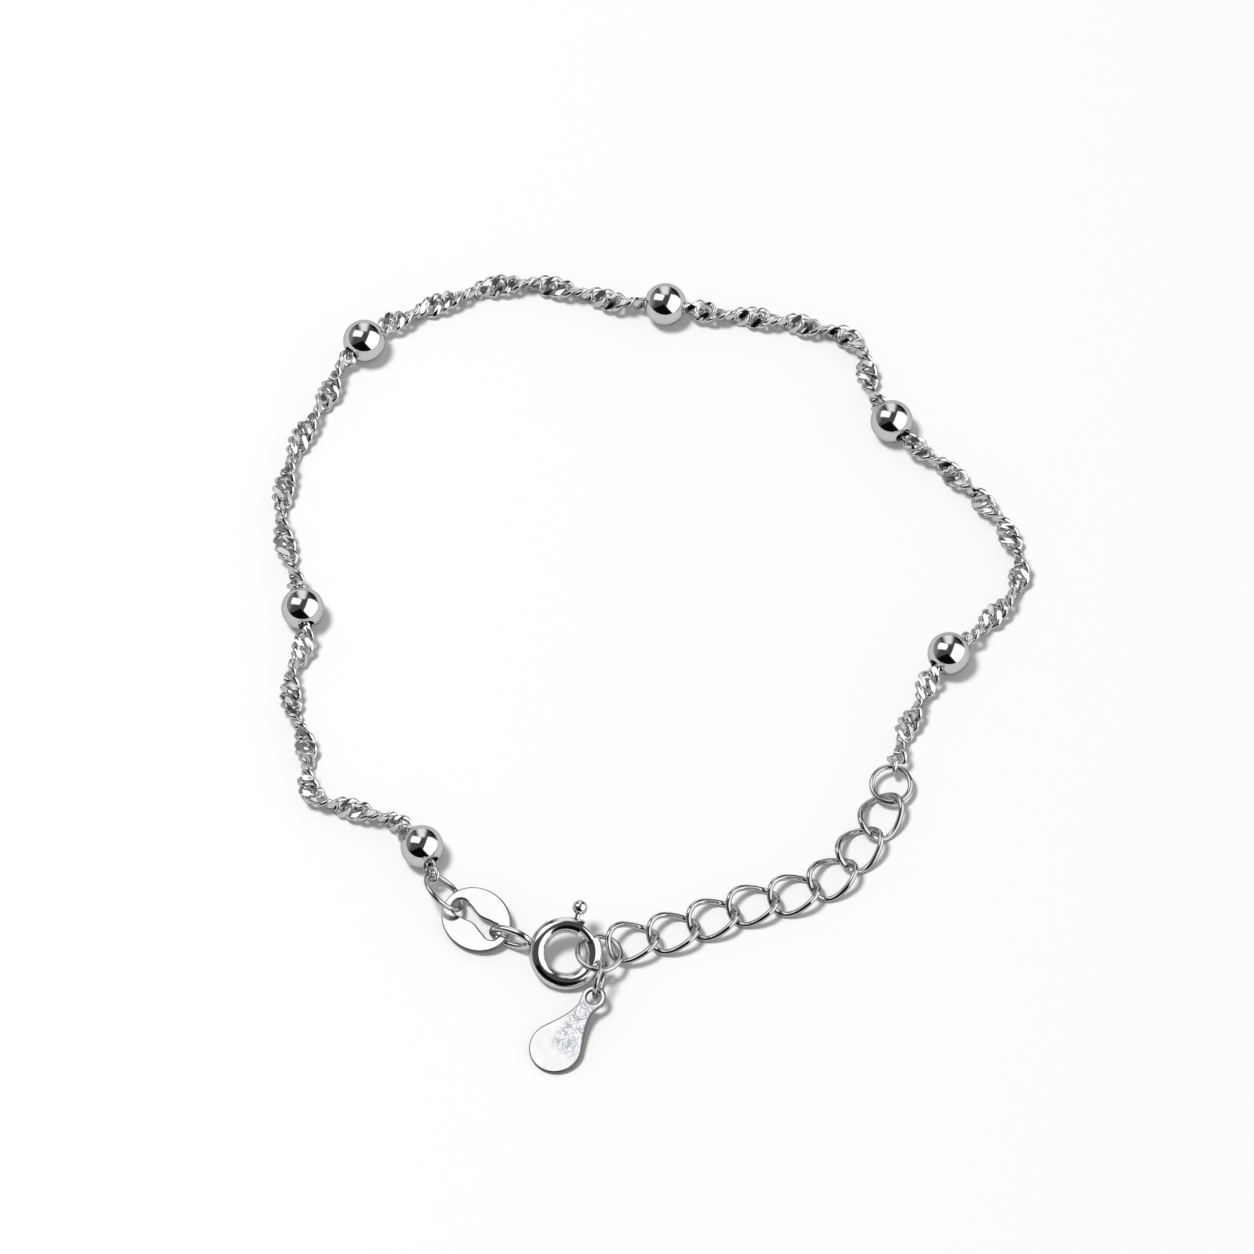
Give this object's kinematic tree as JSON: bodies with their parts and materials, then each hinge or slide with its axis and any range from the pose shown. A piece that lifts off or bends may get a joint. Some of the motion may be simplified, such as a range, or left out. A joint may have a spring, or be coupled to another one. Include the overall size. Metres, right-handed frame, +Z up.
{
  "type": "rope chain bracelet",
  "caption": "Closed wrist bracelet of twisted curb chain with drilled ball beads, a spring ring clasp, an oval slotted tag, an extender chain and a drop tag.",
  "frame": {"origin": "middle of the footprint, on the surface the bracelet lies on", "axes": "+Z up off the surface, +Y across the loop from the clasp side to the far side, +X to the right with the clasp nearest"},
  "size_m": [0.062, 0.074, 0.004],
  "materials": {
    "bead_silver": "mirror polished silver",
    "chain_silver": "polished silver wire with diamond-cut facets",
    "clasp_silver": "polished silver with fine wear",
    "link_silver": "polished silver wire",
    "tag_silver": "bright polished silver sheet with short fine scratches"
  },
  "bodies": {
    "bracelet": {"bead_1": "bead_silver", "bead_2": "bead_silver", "bead_3": "bead_silver", "bead_4": "bead_silver", "bead_5": "bead_silver", "bead_6": "bead_silver", "chain": "chain_silver", "clasp_side_link": "chain_silver", "extender_side_link": "chain_silver", "chain_ring": "link_silver", "oval_tag": "tag_silver", "clasp_ring": "clasp_silver", "extender_link_1": "link_silver", "extender_link_2": "link_silver", "extender_link_3": "link_silver", "extender_link_4": "link_silver", "extender_link_5": "link_silver", "extender_link_6": "link_silver", "extender_link_7": "link_silver", "extender_link_8": "link_silver", "extender_link_9": "link_silver", "end_ring": "link_silver", "drop_ring": "link_silver", "drop_tag": "tag_silver"},
    "trigger": {"clasp_trigger": "clasp_silver"}
  },
  "joints": [
    {"name": "clasp_trigger_slide", "type": "hinge", "parent": "bracelet", "child": "trigger", "pos_m": [-0.00679, -0.02683, 0.00174], "axis": [0, -0.454, 0.891], "range_deg": [0, 42], "stiffness_Nm_per_rad": 0.005, "springref_deg": -5.73}
  ]
}
